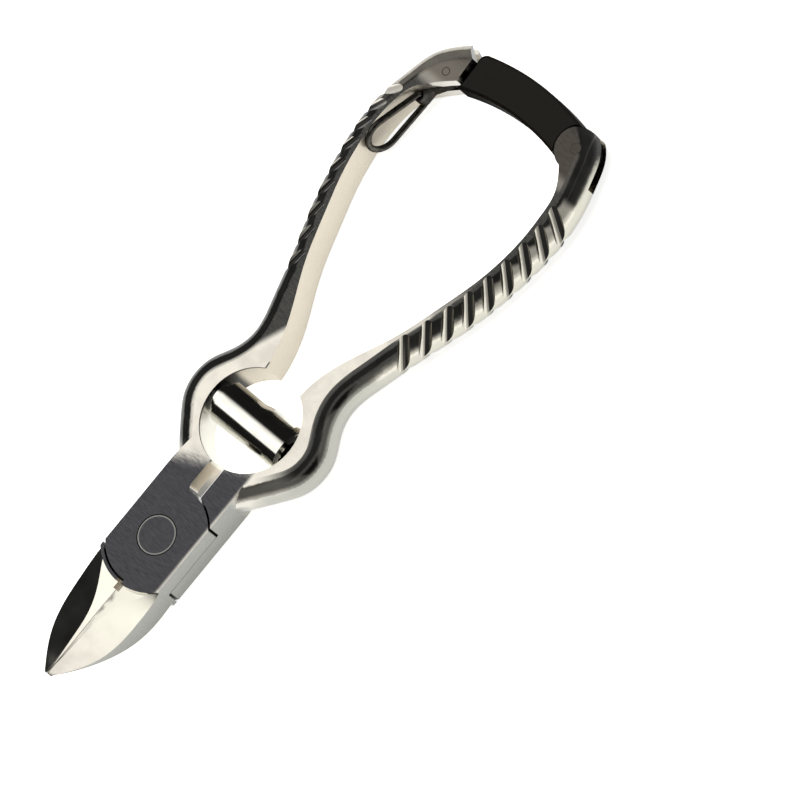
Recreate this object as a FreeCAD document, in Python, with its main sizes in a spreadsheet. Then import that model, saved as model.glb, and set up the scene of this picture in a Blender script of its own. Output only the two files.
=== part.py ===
import FreeCAD, Part

import math
import os

import Sketcher

from FreeCAD import Placement, Rotation, Vector

# Heavy toenail nipper, closed and latched.
#
# +Y runs along the tool from the cutting tip to the handle ends, +X towards the right handle
# and +Z out of the front face. The origin is on the pivot's axis, in the flat back face that
# the tool rests on. The front lever has the left handle and the right jaw, the rear lever the
# right handle and the left jaw, and they lie on each other at the pivot.

# Driving dimensions in millimetres.
SIZES = {
    "tool_thick": 8.0,          # thickness of both levers together
    "lap_gap": 0.1,             # gap between the two halves of the lap joint
    "joint_half_width": 7.65,   # from the tool's axis to the straight sides of the joint
    "shoulder_radius": 10.0,    # round shoulders of the joint, about the pivot
    "shoulder_gap": 0.4,        # gap between a shoulder and the other lever
    "face_radius": 11.0,        # end of the flat joint face, where the jaws begin
    "slot_x": 1.2,              # above the joint each half stops this far short of the axis
    "root_x": 2.2,              # and each handle's full thickness starts this far from it
    "rivet_head_radius": 3.95,
    "rivet_shank_radius": 2.7,
    "rivet_head_thick": 1.6,
    "rivet_rim": 0.22,          # fine bevel round each rivet head
    "running_gap": 0.05,        # radial clearance of every pin in what turns on it
    "bow_centre_y": 26.75,      # round window between the handles that holds the spring
    "bow_radius": 10.1,
    "bow_mouth_half_width": 4.6,
    "handle_round": 3.9,        # rounding of the handles' outer edges
    "bar_chamfer": 0.5,         # bevel round both faces of the latch bar
    "jaw_edge_gap": 0.05,       # from the tool's axis to each cutting edge
    "heel_notch_half_width": 0.7,
    "heel_notch_end_y": -12.3,
    "spring_radius": 4.55,
    "spring_centre_y": 26.5,
    "spring_centre_z": 4.6,     # the spring just touches the plane that the tool lies on
    "strip_thick": 0.45,
    "coil_pitch": 0.62,
    "spring_left_x": -9.4,
    "spring_right_x": 8.7,
    "spring_cone_length": 1.7,  # its small end is stepped like a short cone
    "spring_cone_radius": 3.1,
    "stud_radius": 1.3,
    "stud_length": 2.6,
    "stud_root": 2.0,           # how deep each stud is pressed into the wall
    "stud_bevel": 0.4,
    "fork_slot": 2.6,           # slots of both forks, in the middle of the thickness
    "tongue_thick": 2.2,        # tongues of the latch bar and the catch
    "hinge_x": 16.1,            # pin of the latch bar
    "hinge_y": 101.8,
    "hinge_pin_radius": 1.1,
    "ear_radius": 4.25,
    "eye_radius": 3.3,          # eye of the latch bar about its pin
    "bar_height": 6.0,
    "bar_end_gap": 0.25,        # between the bar's ends and the forks
    "catch_x": -14.5,           # pin of the catch
    "catch_y": 97.9,
    "catch_pin_radius": 0.8,
    "boss_radius": 1.55,        # boss of the catch about its pin
    "tail_half_width": 1.25,    # tail of the catch, pierced for the wire
    "wire_radius": 0.6,         # wire of the release loop
    "wire_gap": 0.08,           # radial clearance of the wire in the tail
    "loop_centre_z": 5.0,       # middle of the wire loop
    "loop_end_radius": 3.5,     # its round end
    "loop_top_half": 1.85,      # its legs are this far from its middle at the tail
    "loop_corner": 0.85,        # rounding of its two top corners
    "leaf_width": 1.8,
    "leaf_thick": 0.25,
    "groove_radius": 1.2,
    "groove_depth": 1.15,
    "groove_length": 14.0,      # length of the round cutter of a groove
}

SHEET = "Sizes"
GROOVE_COUNT = 9
GROOVE_FIRST_Y = 53.0
GROOVE_LAST_Y = 88.9
GROOVE_ANGLE = 55.0

CUT_MARGIN = 0.01
SEARCH_STEPS = 6

# Outer side of a handle, from inside the joint towards its end, for a handle at +X.
HANDLE_OUTER = [(5.0, 8.0), (7.0, 11.6), (10.4, 15.6), (13.2, 19.0), (15.7, 22.6), (16.7, 26.4),
                (16.0, 31.0), (13.7, 35.2), (12.6, 39.0), (14.0, 46.0), (16.5, 54.0), (19.55, 62.4),
                (22.0, 71.0), (23.5, 80.0)]
# Flat inner side of a handle, from the corner at the bow towards its end.
HANDLE_INNER = [(6.9, 44.7), (12.0, 55.0), (15.4, 64.5), (17.5, 71.0), (18.95, 78.0), (19.4, 84.0)]


def point(x, y, z=0.0):
    return Vector(x, y, z)


def line(start, end):
    return Part.LineSegment(point(*start), point(*end))


def arc(start, middle, end):
    return Part.Arc(point(*start), point(*middle), point(*end))


def spline(points):
    curve = Part.BSplineCurve()
    curve.interpolate([point(*place) for place in points])
    return curve


def on_circle(centre, radius, degrees):
    angle = math.radians(degrees)
    return (centre[0] + radius * math.cos(angle), centre[1] + radius * math.sin(angle))


def turn_to(centre, place):
    return math.degrees(math.atan2(place[1] - centre[1], place[0] - centre[0]))


def round_arc(centre, start, end, clockwise=False):
    """Arc about centre from start to end; both lie on the same circle."""
    radius = math.dist(centre, start)
    first = turn_to(centre, start)
    last = turn_to(centre, end)
    if clockwise and last > first:
        last -= 360.0
    if not clockwise and last < first:
        last += 360.0
    return arc(start, on_circle(centre, radius, (first + last) / 2), end)


def chain(*corners):
    return [line(start, end) for start, end in zip(corners, corners[1:])]


def make_sheet(doc):
    sheet = doc.addObject("Spreadsheet::Sheet", SHEET)
    for row, (alias, value) in enumerate(SIZES.items(), start=1):
        place = "A%d" % row
        sheet.set(place, str(value))
        sheet.setAlias(place, alias)
    doc.recompute()
    return sheet


def size(alias):
    """Value of one cell of the sheet."""
    return float(FreeCAD.ActiveDocument.getObject(SHEET).get(alias))


def cell(text):
    """Expression in which every alias is looked up in the sheet."""
    words = text.split()
    return " ".join("%s.%s" % (SHEET, word) if word in SIZES else word for word in words)


def new_body(doc, label):
    body = doc.addObject("PartDesign::Body", label)
    body.Label = label
    return body


def origin_plane(body, role):
    for feature in body.Origin.OriginFeatures:
        if feature.Role == role:
            return feature
    raise ValueError("no plane " + role)


def new_sketch(body, name, height=None, plane="XY_Plane"):
    """Sketch on one of the body's own planes, lifted by an expression."""
    sketch = body.newObject("Sketcher::SketchObject", name)
    sketch.AttachmentSupport = [(origin_plane(body, plane), "")]
    sketch.MapMode = "FlatFace"
    if height is not None:
        sketch.setExpression("AttachmentOffset.Base.z", cell(height))
    return sketch


def draw_outline(sketch, curves):
    """Closed outline of curves that follow one another, tied end to start."""
    sketch.addGeometry(curves, False)
    ends = []
    for index, curve in enumerate(curves):
        start = curve.value(curve.FirstParameter)
        turned_over = sketch.getPoint(index, 1).distanceToPoint(start) > 1e-6
        ends.append((2, 1) if turned_over else (1, 2))
    for index in range(len(curves)):
        following = (index + 1) % len(curves)
        joint = Sketcher.Constraint("Coincident", index, ends[index][1], following, ends[following][0])
        sketch.addConstraint(joint)


def draw_circle(sketch, centre, radius):
    circle = sketch.addGeometry(Part.Circle(point(*centre), Vector(0, 0, 1), 1.0), False)
    sketch.addConstraint(Sketcher.Constraint("DistanceX", -1, 1, circle, 3, centre[0] or 0.0))
    sketch.addConstraint(Sketcher.Constraint("DistanceY", -1, 1, circle, 3, centre[1] or 0.0))
    width = sketch.addConstraint(Sketcher.Constraint("Radius", circle, 1.0))
    sketch.setExpression("Constraints[%d]" % width, cell(radius))


def draw_box(sketch, low, high):
    corners = [low, (high[0], low[1]), high, (low[0], high[1]), low]
    draw_outline(sketch, chain(*corners))


def settle(feature):
    """Recompute, and stop at a feature that failed."""
    feature.Document.recompute()
    if "Invalid" in feature.State or feature.Shape.isNull():
        raise ValueError("%s failed" % feature.Label)
    return feature


def pad(body, sketch, length, name):
    feature = body.newObject("PartDesign::Pad", name)
    feature.Profile = sketch
    feature.setExpression("Length", cell(length))
    return settle(feature)


def pocket(body, sketch, depth, name, upward=True):
    """Pocket that must take material away."""
    before = body.Shape.Volume
    feature = body.newObject("PartDesign::Pocket", name)
    feature.Profile = sketch
    feature.Reversed = upward
    feature.setExpression("Length", cell(depth))
    settle(feature)
    if body.Shape.Volume > before - 1e-6:
        raise ValueError(name + " cuts nothing")
    return feature


def round_hole(body, centre, radius, bottom, depth, name):
    sketch = new_sketch(body, name + "_sketch", bottom)
    draw_circle(sketch, centre, radius)
    return pocket(body, sketch, depth, name)


def fillet(body, base, edges, radius, name):
    feature = body.newObject("PartDesign::Fillet", name)
    feature.Base = (base, edges)
    feature.setExpression("Radius", cell(radius))
    return settle(feature)


def chamfer(body, base, edges, width, name):
    feature = body.newObject("PartDesign::Chamfer", name)
    feature.Base = (base, edges)
    feature.setExpression("Size", cell(width))
    return settle(feature)


def level_edges(shape, heights, reach=0.02):
    """Names of the edges that lie level at one of the heights."""
    names = []
    for number, edge in enumerate(shape.Edges, start=1):
        for height in heights:
            if max(abs(edge.BoundBox.ZMin - height), abs(edge.BoundBox.ZMax - height)) < reach:
                names.append("Edge%d" % number)
    return names


def edges_along(shape, curve, heights, reach=0.02):
    """Names of the level edges that lie over a plane curve."""
    names = []
    path = curve.toShape()
    for number, edge in enumerate(shape.Edges, start=1):
        middle = edge.valueAt((edge.FirstParameter + edge.LastParameter) / 2)
        level = any(abs(vertex.Z - middle.z) > reach for vertex in edge.Vertexes)
        if level or not any(abs(middle.z - height) < reach for height in heights):
            continue
        foot = Part.Vertex(middle.x, middle.y, 0)
        if path.distToShape(foot)[0] < reach:
            names.append("Edge%d" % number)
    return names


# ---------------------------------------------------------------- levers


def bow_point(side_x):
    """Point of the bow's window on its lower half, at a distance from the axis."""
    drop = math.sqrt(size("bow_radius") ** 2 - side_x ** 2)
    return (side_x, size("bow_centre_y") - drop)


def bow_corner():
    """Corner where the bow's window meets the flat side of the handle."""
    half = size("bow_mouth_half_width")
    return (half, size("bow_centre_y") + math.sqrt(size("bow_radius") ** 2 - half ** 2))


# Where the round of the ear begins and ends, as angles about its pin.
EAR_CORNER_ANGLE = 62.0
EAR_ROOT_ANGLE = 262.0


def ear_end():
    """End of the right handle: round about the latch bar's pin."""
    centre = (size("hinge_x"), size("hinge_y"))
    radius = size("ear_radius")
    corner = on_circle(centre, radius, EAR_CORNER_ANGLE)
    root = on_circle(centre, radius, EAR_ROOT_ANGLE)
    outer = [(23.9, 88.0), (23.1, 94.0), (21.5, 99.5), (19.9, 103.4), corner]
    inner = [round_arc(centre, corner, root)]
    return outer, inner, [root, (17.2, 95.5), (18.55, 93.0), (19.2, 89.0)]


def catch_end():
    """End of the left handle: a lobe with a flat mouth for the latch bar's tongue."""
    corner = (15.3, 104.8)
    lip = (11.95, 102.7)
    root = (11.6, 97.8)
    outer = [(23.5, 88.0), (22.1, 94.0), (20.3, 99.5), (17.85, 102.6), corner]
    inner_tail = [root, (13.5, 96.3), (15.8, 94.2), (17.9, 91.8), (18.95, 88.6)]
    return outer, chain(corner, lip, root), inner_tail


def handle_curves(side, end):
    """Outline of a handle, and its rounded outer side on its own."""
    outer_tail, end_curves, inner_tail = end()
    outer = spline(HANDLE_OUTER + outer_tail)
    corner = bow_corner()
    inner = spline(inner_tail + HANDLE_INNER[::-1] + [corner])
    bow_foot = bow_point(size("root_x"))
    centre = (0.0, size("bow_centre_y"))
    start = HANDLE_OUTER[0]
    slot_foot = (bow_foot[0], start[1])
    curves = [outer] + end_curves + [inner, round_arc(centre, corner, bow_foot, clockwise=True)]
    curves += chain(bow_foot, slot_foot, start)
    return mirrored(curves, side), mirrored([outer], side)[0]


def mirrored(curves, side):
    """Curves drawn for a handle at +X, put on the side asked for."""
    if side > 0:
        return curves
    turned = [curve.copy() for curve in curves]
    for curve in turned:
        curve.mirror(Vector(0, 0, 0), Vector(0, 1, 0))
    return turned


# Where the joint's straight side begins, and where its face meets the bow.
JOINT_SIDE_Y = 13.2
JOINT_BOW_X = 7.0


def joint_curves(side):
    """Outline of the joint face of the lever whose handle is on the given side."""
    half = size("joint_half_width")
    radius = size("shoulder_radius")
    face = size("face_radius")
    slot = size("slot_x")
    notch = size("heel_notch_half_width")
    pivot = (0.0, 0.0)
    shoulder = math.sqrt(radius ** 2 - half ** 2)
    crown = (0.0, radius)
    slot_foot = (slot, radius + slot)
    heel = (notch, -math.sqrt(radius ** 2 - notch ** 2))
    notch_top = (-notch, heel[1])
    notch_foot = (-notch, -math.sqrt(face ** 2 - notch ** 2))
    far_corner = (-half, -math.sqrt(face ** 2 - half ** 2))
    bow_start = bow_point(slot)
    bow_end = bow_point(JOINT_BOW_X)
    bow_centre = (0.0, size("bow_centre_y"))
    curves = [line(far_corner, (-half, shoulder)),
              round_arc(pivot, (-half, shoulder), crown, clockwise=True),
              round_arc((0.0, radius + slot), crown, slot_foot),
              line(slot_foot, bow_start),
              round_arc(bow_centre, bow_start, bow_end)]
    curves += chain(bow_end, (half, JOINT_SIDE_Y), (half, -shoulder))
    curves += [round_arc(pivot, (half, -shoulder), heel, clockwise=True)]
    curves += chain(heel, notch_top, notch_foot)
    curves += [round_arc(pivot, notch_foot, far_corner, clockwise=True)]
    return mirrored(curves, side)


# Stations of a jaw from heel to tip: Y, then X and Z of the ridge on the front, of the outer
# edge on the front, and of the outer edge on the back; Z is measured from the back face.
JAW_STATIONS = [
    (-7.0, 6.80, 7.50, 7.45, 7.30, 7.40, 0.70),
    (-12.0, 4.30, 7.20, 7.70, 6.55, 7.60, 0.60),
    (-17.5, 1.60, 7.05, 7.40, 6.00, 7.25, 1.30),
    (-22.5, 0.75, 6.85, 6.50, 5.85, 6.15, 3.10),
    (-27.3, 0.35, 6.75, 4.25, 6.15, 3.90, 4.80),
    (-31.9, 0.20, 6.70, 0.75, 6.55, 0.70, 6.10),
]
# Height of the flat behind each cutting edge, how far the jaws stand apart at the back, and
# how much each inner bevel falls towards the edge.
JAW_LAND = 0.5
JAW_BACK_OPENING = 1.3
JAW_EDGE_DROP = 0.12


def jaw_section(body, side, number, station):
    """Cross-section of a jaw: cutting edge, ridge, outer bevel, side, back and relief."""
    place_y, ridge_x, ridge_z, top_x, top_z, low_x, low_z = station
    edge_x = size("jaw_edge_gap")
    edge_z = ridge_z - JAW_EDGE_DROP * ridge_x
    land = min(JAW_LAND, (edge_z - low_z) / 2)
    back_x = edge_x + JAW_BACK_OPENING * (edge_z - low_z) / size("tool_thick")
    corners = [(edge_x, edge_z), (ridge_x, ridge_z), (top_x, top_z), (low_x, low_z),
               (back_x, low_z), (edge_x, edge_z - land)]
    corners = [(side * across, height) for across, height in corners]
    sketch = body.newObject("Sketcher::SketchObject", "jaw_section_%d" % number)
    sketch.AttachmentSupport = [(origin_plane(body, "XZ_Plane"), "")]
    sketch.MapMode = "FlatFace"
    sketch.AttachmentOffset = Placement(Vector(0, 0, -place_y), Rotation())
    draw_outline(sketch, chain(*corners, corners[0]))
    return sketch


def add_jaw(body, side):
    sections = [jaw_section(body, side, number, station)
                for number, station in enumerate(JAW_STATIONS, start=1)]
    loft = body.newObject("PartDesign::AdditiveLoft", "jaw")
    loft.Profile = sections[0]
    loft.Sections = sections[1:]
    loft.Ruled = False
    loft.Closed = False
    return settle(loft)


LAP_SLOT_START_Y = 5.0


def cut_lap(body, from_top):
    """Remove the half of the joint that the other lever fills."""
    bottom = "tool_thick / 2 - lap_gap / 2" if from_top else "0"
    depth = "tool_thick / 2 + lap_gap / 2"
    round_hole(body, (0.0, 0.0), "shoulder_radius + shoulder_gap", bottom, depth, "lap_disc")
    reach = size("root_x")
    sketch = new_sketch(body, "lap_slot_sketch", bottom)
    draw_box(sketch, (-reach, LAP_SLOT_START_Y), (reach, bow_point(reach)[1] + CUT_MARGIN))
    pocket(body, sketch, depth, "lap_slot")


def cut_heel_notch(body):
    """Small window where the cutting edges begin."""
    notch = size("heel_notch_half_width")
    sketch = new_sketch(body, "heel_notch_sketch")
    draw_box(sketch, (-notch, size("heel_notch_end_y")), (notch, -size("shoulder_radius")))
    pocket(body, sketch, "tool_thick", "heel_notch")


def cut_rivet_hole(body, head_on_top, gap):
    """Stepped hole for the rivet's shank and one of its heads."""
    round_hole(body, (0.0, 0.0), "rivet_shank_radius + " + gap, "0", "tool_thick", "shank_hole")
    depth = "rivet_head_thick + " + gap
    bottom = "tool_thick - rivet_head_thick - " + gap if head_on_top else "0"
    round_hole(body, (0.0, 0.0), "rivet_head_radius + " + gap, bottom, depth, "head_recess")


# Areas in plan that the slots of the two forks cover: a low and a high corner.
CATCH_SLOT = ((-30.0, 90.8), (0.0, 110.0))
EAR_SLOT = ((0.0, 97.4), (30.0, 110.0))


def cut_fork(body, area, name):
    """Slot in the middle of the thickness, over the given area of the plan."""
    sketch = new_sketch(body, name + "_sketch", "tool_thick / 2 - fork_slot / 2")
    draw_box(sketch, *area)
    pocket(body, sketch, "fork_slot", name)


def outer_frame(outer, height_y):
    """Point of the outer side at a given Y, its direction along the handle and outward."""
    near = outer.parameter(Vector(outer.value(outer.FirstParameter).x, height_y, 0))
    for _ in range(SEARCH_STEPS):
        here = outer.value(near)
        slope = Vector(*outer.tangent(near)[0])
        near += (height_y - here.y) / outer.getD1(near)[1].y
    here = outer.value(near)
    along = Vector(*outer.tangent(near)[0])
    along.normalize()
    if along.y < 0:
        along = along * -1
    outward = Vector(along.y, -along.x, 0)
    if outward.x * here.x < 0:
        outward = outward * -1
    return here, along, outward


def cut_grooves(body, outer):
    """Row of short diagonal gouges across the rounded outer edges, front and back."""
    radius = size("groove_radius")
    roundness = size("handle_round")
    reach = radius - size("groove_depth")
    length = size("groove_length")
    angle = math.radians(GROOVE_ANGLE)
    for number in range(GROOVE_COUNT):
        share = number / (GROOVE_COUNT - 1)
        height_y = GROOVE_FIRST_Y + share * (GROOVE_LAST_Y - GROOVE_FIRST_Y)
        here, along, outward = outer_frame(outer, height_y)
        for face in (1, -1):
            up = Vector(0, 0, face)
            level = size("tool_thick") - roundness if face > 0 else roundness
            centre = here - outward * roundness + Vector(0, 0, level)
            normal = (outward + up).normalize()
            down_slope = (outward - up).normalize()
            direction = along * math.cos(angle) - down_slope * math.sin(angle)
            surface = centre + normal * (roundness + reach)
            cutter = body.newObject("PartDesign::SubtractiveCylinder",
                                    "groove_%d_%s" % (number + 1, "front" if face > 0 else "back"))
            cutter.setExpression("Radius", cell("groove_radius"))
            cutter.setExpression("Height", cell("groove_length"))
            turn = Rotation(Vector(0, 0, 1), direction)
            cutter.Placement = Placement(surface - direction * (length / 2), turn)
    body.Document.recompute()


def make_lever(doc, label, side, end):
    """One lever; side is -1 for a handle at -X, whose joint half is the front one."""
    body = new_body(doc, label)
    curves, outer = handle_curves(side, end)
    handle_sketch = new_sketch(body, "handle_outline")
    draw_outline(handle_sketch, curves)
    handle = pad(body, handle_sketch, "tool_thick", "handle")
    rims = edges_along(handle.Shape, outer, (0.0, size("tool_thick")))
    fillet(body, handle, rims, "handle_round", "handle_rounding")
    joint_sketch = new_sketch(body, "joint_outline")
    draw_outline(joint_sketch, joint_curves(side))
    pad(body, joint_sketch, "tool_thick", "joint")
    add_jaw(body, -side)
    cut_lap(body, from_top=side > 0)
    cut_heel_notch(body)
    cut_rivet_hole(body, head_on_top=side < 0, gap="running_gap" if side > 0 else "0")
    cut_grooves(body, outer)
    return body


def make_front_lever(doc):
    body = make_lever(doc, "front_lever", -1, catch_end)
    cut_fork(body, CATCH_SLOT, "catch_slot")
    round_hole(body, (size("catch_x"), size("catch_y")), "catch_pin_radius", "0", "tool_thick",
               "catch_pin_hole")
    cut_stud_hole(body, -1)
    return body


def make_rear_lever(doc):
    body = make_lever(doc, "rear_lever", 1, ear_end)
    cut_fork(body, EAR_SLOT, "ear_slot")
    round_hole(body, (size("hinge_x"), size("hinge_y")), "hinge_pin_radius", "0", "tool_thick",
               "hinge_pin_hole")
    cut_stud_hole(body, 1)
    return body


def cut_stud_hole(body, side):
    """Blind hole in the bow's inner wall for the spring's stud."""
    sketch = new_sketch(body, "stud_hole_sketch", plane="YZ_Plane")
    centre = (size("spring_centre_y"), size("spring_centre_z"))
    draw_circle(sketch, centre, "stud_radius")
    sketch.setExpression("AttachmentOffset.Base.z", cell("%d * ( bow_radius - stud_root )" % side))
    pocket(body, sketch, "2 * stud_root", "stud_hole", upward=side > 0)


# ---------------------------------------------------------------- joint and spring


def make_pivot_rivet(doc):
    """Rivet with two flush heads, each with a fine chamfer round its rim."""
    body = new_body(doc, "pivot_rivet")
    head = size("rivet_head_radius")
    shank = size("rivet_shank_radius")
    thick = size("rivet_head_thick")
    top = size("tool_thick")
    rim = size("rivet_rim")
    corners = [(0, 0), (head - rim, 0), (head, rim), (head, thick), (shank, thick),
               (shank, top - thick), (head, top - thick), (head, top - rim), (head - rim, top),
               (0, top), (0, 0)]
    sketch = new_sketch(body, "rivet_profile", plane="XZ_Plane")
    draw_outline(sketch, chain(*corners))
    turned = body.newObject("PartDesign::Revolution", "rivet")
    turned.Profile = sketch
    turned.ReferenceAxis = (sketch, ["V_Axis"])
    turned.Angle = 360.0
    doc.recompute()
    return body


def make_stud(doc, label, side):
    """Round peg pressed into the bow's wall, with a bevelled end."""
    body = new_body(doc, label)
    radius = size("stud_radius")
    wall = size("bow_radius")
    root = wall + size("stud_root")
    tip = wall - size("stud_length")
    bevel = size("stud_bevel")
    corners = [(0, root), (radius, root), (radius, tip + bevel), (radius - bevel, tip), (0, tip),
               (0, root)]
    sketch = new_sketch(body, "stud_profile", plane="XZ_Plane")
    draw_outline(sketch, chain(*corners))
    turned = body.newObject("PartDesign::Revolution", "stud")
    turned.Profile = sketch
    turned.ReferenceAxis = (sketch, ["V_Axis"])
    turned.Angle = 360.0
    place = Vector(0, size("spring_centre_y"), size("spring_centre_z"))
    body.Placement = Placement(place, Rotation(Vector(0, 1, 0), 90.0 * side))
    doc.recompute()
    return body


STRIP_HALF_TURNS = 7


def spiral_edges(radius, shrink):
    """Half circles about two centres in turn, each smaller than the last by the same step."""
    edges = []
    across = radius
    centre = 0.0
    up = 1.0
    for _ in range(STRIP_HALF_TURNS):
        start = (centre + across * up, 0.0)
        end = (centre - across * up, 0.0)
        middle = (centre, across)
        if up < 0:
            middle = (centre, -across)
        edges.append(arc(start, middle, end))
        centre -= shrink * up
        across -= shrink
        up = -up
    return edges


def make_barrel_spring(doc):
    """Strip rolled into a barrel: its inner turns stand out at the left end."""
    body = new_body(doc, "barrel_spring")
    shrink = size("coil_pitch") / 2
    outer = spiral_edges(size("spring_radius"), shrink)
    inner = spiral_edges(size("spring_radius") - size("strip_thick"), shrink)
    back = [Part.Arc(edge.EndPoint, edge.value((edge.FirstParameter + edge.LastParameter) / 2),
                     edge.StartPoint) for edge in reversed(inner)]
    last = outer[-1].EndPoint
    first = back[0].StartPoint
    start = outer[0].StartPoint
    close = back[-1].EndPoint
    curves = outer + [Part.LineSegment(last, first)] + back + [Part.LineSegment(close, start)]
    sketch = new_sketch(body, "strip_spiral")
    draw_outline(sketch, curves)
    pad(body, sketch, "spring_right_x - spring_left_x", "rolled_strip")
    cut_spring_cone(body)
    middle = Vector(size("spring_left_x"), size("spring_centre_y"), size("spring_centre_z"))
    body.Placement = Placement(middle, Rotation(Vector(0, 1, 0), 90))
    doc.recompute()
    return body


# How far the conical cut reaches past the strip.
CONE_PAST = 1.0


def cut_spring_cone(body):
    """Cone at the small end, so that each outer turn starts a step further in."""
    radius = size("spring_radius")
    reach = size("spring_cone_length")
    start = size("spring_cone_radius")
    sketch = new_sketch(body, "cone_profile", plane="XZ_Plane")
    past = radius + CONE_PAST
    corners = [(start, -CONE_PAST), (past, -CONE_PAST), (past, reach), (radius, reach), (start, 0),
               (start, -CONE_PAST)]
    draw_outline(sketch, chain(*corners))
    before = body.Shape.Volume
    cut = body.newObject("PartDesign::Groove", "small_end")
    cut.Profile = sketch
    cut.ReferenceAxis = (sketch, ["V_Axis"])
    cut.Angle = 360.0
    body.Document.recompute()
    if body.Shape.Volume > before - 1e-6:
        raise ValueError("small_end cuts nothing")


# ---------------------------------------------------------------- latch


# Long edges of the latch bar in plan: a point near each end and one in the middle.
BAR_OUTER = [(-11.5, 104.75), (3.35, 106.8), (14.75, 105.3)]
BAR_INNER = [(16.15, 97.5), (4.35, 99.4), (-11.25, 96.9)]
# Rounded corner at the bar's left end: how far down, in and up it reaches.
NOSE_DROP = 1.3
NOSE_REACH = 1.1
NOSE_RISE = 0.25
NOSE_INSET = 0.35
# Root of the bar's eye, and where its sides meet the round, as angles about the pin.
EYE_ROOT_X = 10.2
EYE_ROOT_LOW_Y = 100.0
EYE_ROOT_HIGH_Y = 104.6
EYE_HIGH_ANGLE = 100.0
EYE_LOW_ANGLE = 235.0
# Tongue of the bar with its pointed end, and the notch in its inner edge.
TONGUE_HIGH_BEVEL = 1.4
TONGUE_LOW_BEVEL = 1.6
TONGUE_POINT_DROP = 1.0
TONGUE_LOW_Y = 99.75
TONGUE_HIGH_Y = 102.3
TONGUE_ROOT_X = -10.75
TONGUE_TIP_X = -17.8
NOTCH_X = -15.2
NOTCH_HALF = 0.7
NOTCH_DEPTH = 0.8
NOSE_GAP = 0.1


def make_latch_bar(doc):
    """Curved bar with an eye in the right fork and a tongue in the left one."""
    body = new_body(doc, "latch_bar")
    hinge = (size("hinge_x"), size("hinge_y"))
    clear = size("ear_radius") + size("bar_end_gap")
    outer = Part.Arc(*[point(*place) for place in BAR_OUTER])
    inner = Part.Arc(*[point(*place) for place in BAR_INNER])
    eye = Part.Circle(point(*hinge), Vector(0, 0, 1), clear)
    top = crossing(eye, outer)
    low = crossing(eye, inner)
    left_top = BAR_OUTER[0]
    left_low = BAR_INNER[2]
    nose = (left_top[0], left_top[1] - NOSE_DROP)
    shoulder = (left_top[0] + NOSE_REACH, left_top[1] + NOSE_RISE)
    curves = [arc(nose, (left_top[0] + NOSE_INSET, left_top[1] - NOSE_RISE), shoulder)]
    curves += [arc(shoulder, BAR_OUTER[1], top)]
    curves += [round_arc(hinge, top, low)]
    curves += [arc(low, BAR_INNER[1], left_low)]
    curves += [line(left_low, nose)]
    sketch = new_sketch(body, "bar_outline", "tool_thick / 2 - bar_height / 2")
    draw_outline(sketch, curves)
    bar = pad(body, sketch, "bar_height", "bar")
    levels = (size("tool_thick") / 2 - size("bar_height") / 2,
              size("tool_thick") / 2 + size("bar_height") / 2)
    chamfer(body, bar, level_edges(bar.Shape, levels), "bar_chamfer", "bar_bevel")
    add_hinge_tongue(body, hinge)
    add_catch_tongue(body)
    round_hole(body, hinge, "hinge_pin_radius + running_gap", "0", "tool_thick", "eye_hole")
    return body


def crossing(circle, curve):
    """First place where a circle meets a curve."""
    meeting = circle.intersect(curve)[0]
    return (meeting.X, meeting.Y)


def add_hinge_tongue(body, hinge):
    """Eye about the pin, joined to the bar."""
    radius = size("eye_radius")
    high = on_circle(hinge, radius, EYE_HIGH_ANGLE)
    low = on_circle(hinge, radius, EYE_LOW_ANGLE)
    curves = [round_arc(hinge, low, high)]
    curves += chain(high, (EYE_ROOT_X, EYE_ROOT_HIGH_Y), (EYE_ROOT_X, EYE_ROOT_LOW_Y), low)
    sketch = new_sketch(body, "eye_outline", "tool_thick / 2 - tongue_thick / 2")
    draw_outline(sketch, curves)
    pad(body, sketch, "tongue_thick", "eye")


def add_catch_tongue(body):
    """Tongue with a pointed end and a notch on its inner edge for the catch."""
    start = (TONGUE_ROOT_X, TONGUE_HIGH_Y)
    roof = TONGUE_LOW_Y + NOTCH_DEPTH
    corners = [start, (TONGUE_TIP_X + TONGUE_HIGH_BEVEL, TONGUE_HIGH_Y),
               (TONGUE_TIP_X, TONGUE_HIGH_Y - TONGUE_POINT_DROP),
               (TONGUE_TIP_X + TONGUE_LOW_BEVEL, TONGUE_LOW_Y), (NOTCH_X - NOTCH_HALF, TONGUE_LOW_Y),
               (NOTCH_X - NOTCH_HALF, roof), (NOTCH_X + NOTCH_HALF, roof),
               (NOTCH_X + NOTCH_HALF, TONGUE_LOW_Y), (TONGUE_ROOT_X, TONGUE_LOW_Y), start]
    sketch = new_sketch(body, "catch_tongue_outline", "tool_thick / 2 - tongue_thick / 2")
    draw_outline(sketch, chain(*corners))
    pad(body, sketch, "tongue_thick", "catch_tongue")


def make_pin(doc, label, centre, radius):
    """Plain pin, ground flush with both faces."""
    body = new_body(doc, label)
    sketch = new_sketch(body, "pin_outline")
    draw_circle(sketch, centre, radius)
    pad(body, sketch, "tool_thick", "pin")
    return body


# Middle line of the wire loop in plan, and how far the loop leans towards the handle.
LOOP_BOTTOM = (-17.85, 82.2)
LOOP_TOP = (-16.9, 91.6)
LOOP_LEAN = 9.2


def loop_ends():
    """Middle of the loop's top, and the middle of its round end."""
    return point(*LOOP_TOP, size("tool_thick") / 2), point(*LOOP_BOTTOM, size("loop_centre_z"))


def loop_axes():
    """Directions of the loop: along its legs and across them."""
    top, bottom = loop_ends()
    along = (top - bottom).normalize()
    lean = math.radians(LOOP_LEAN)
    up = Vector(0, 0, 1)
    square = (up - along * up.dot(along)).normalize()
    across = square * math.cos(lean) + square.cross(along) * math.sin(lean)
    return along, across


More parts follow.
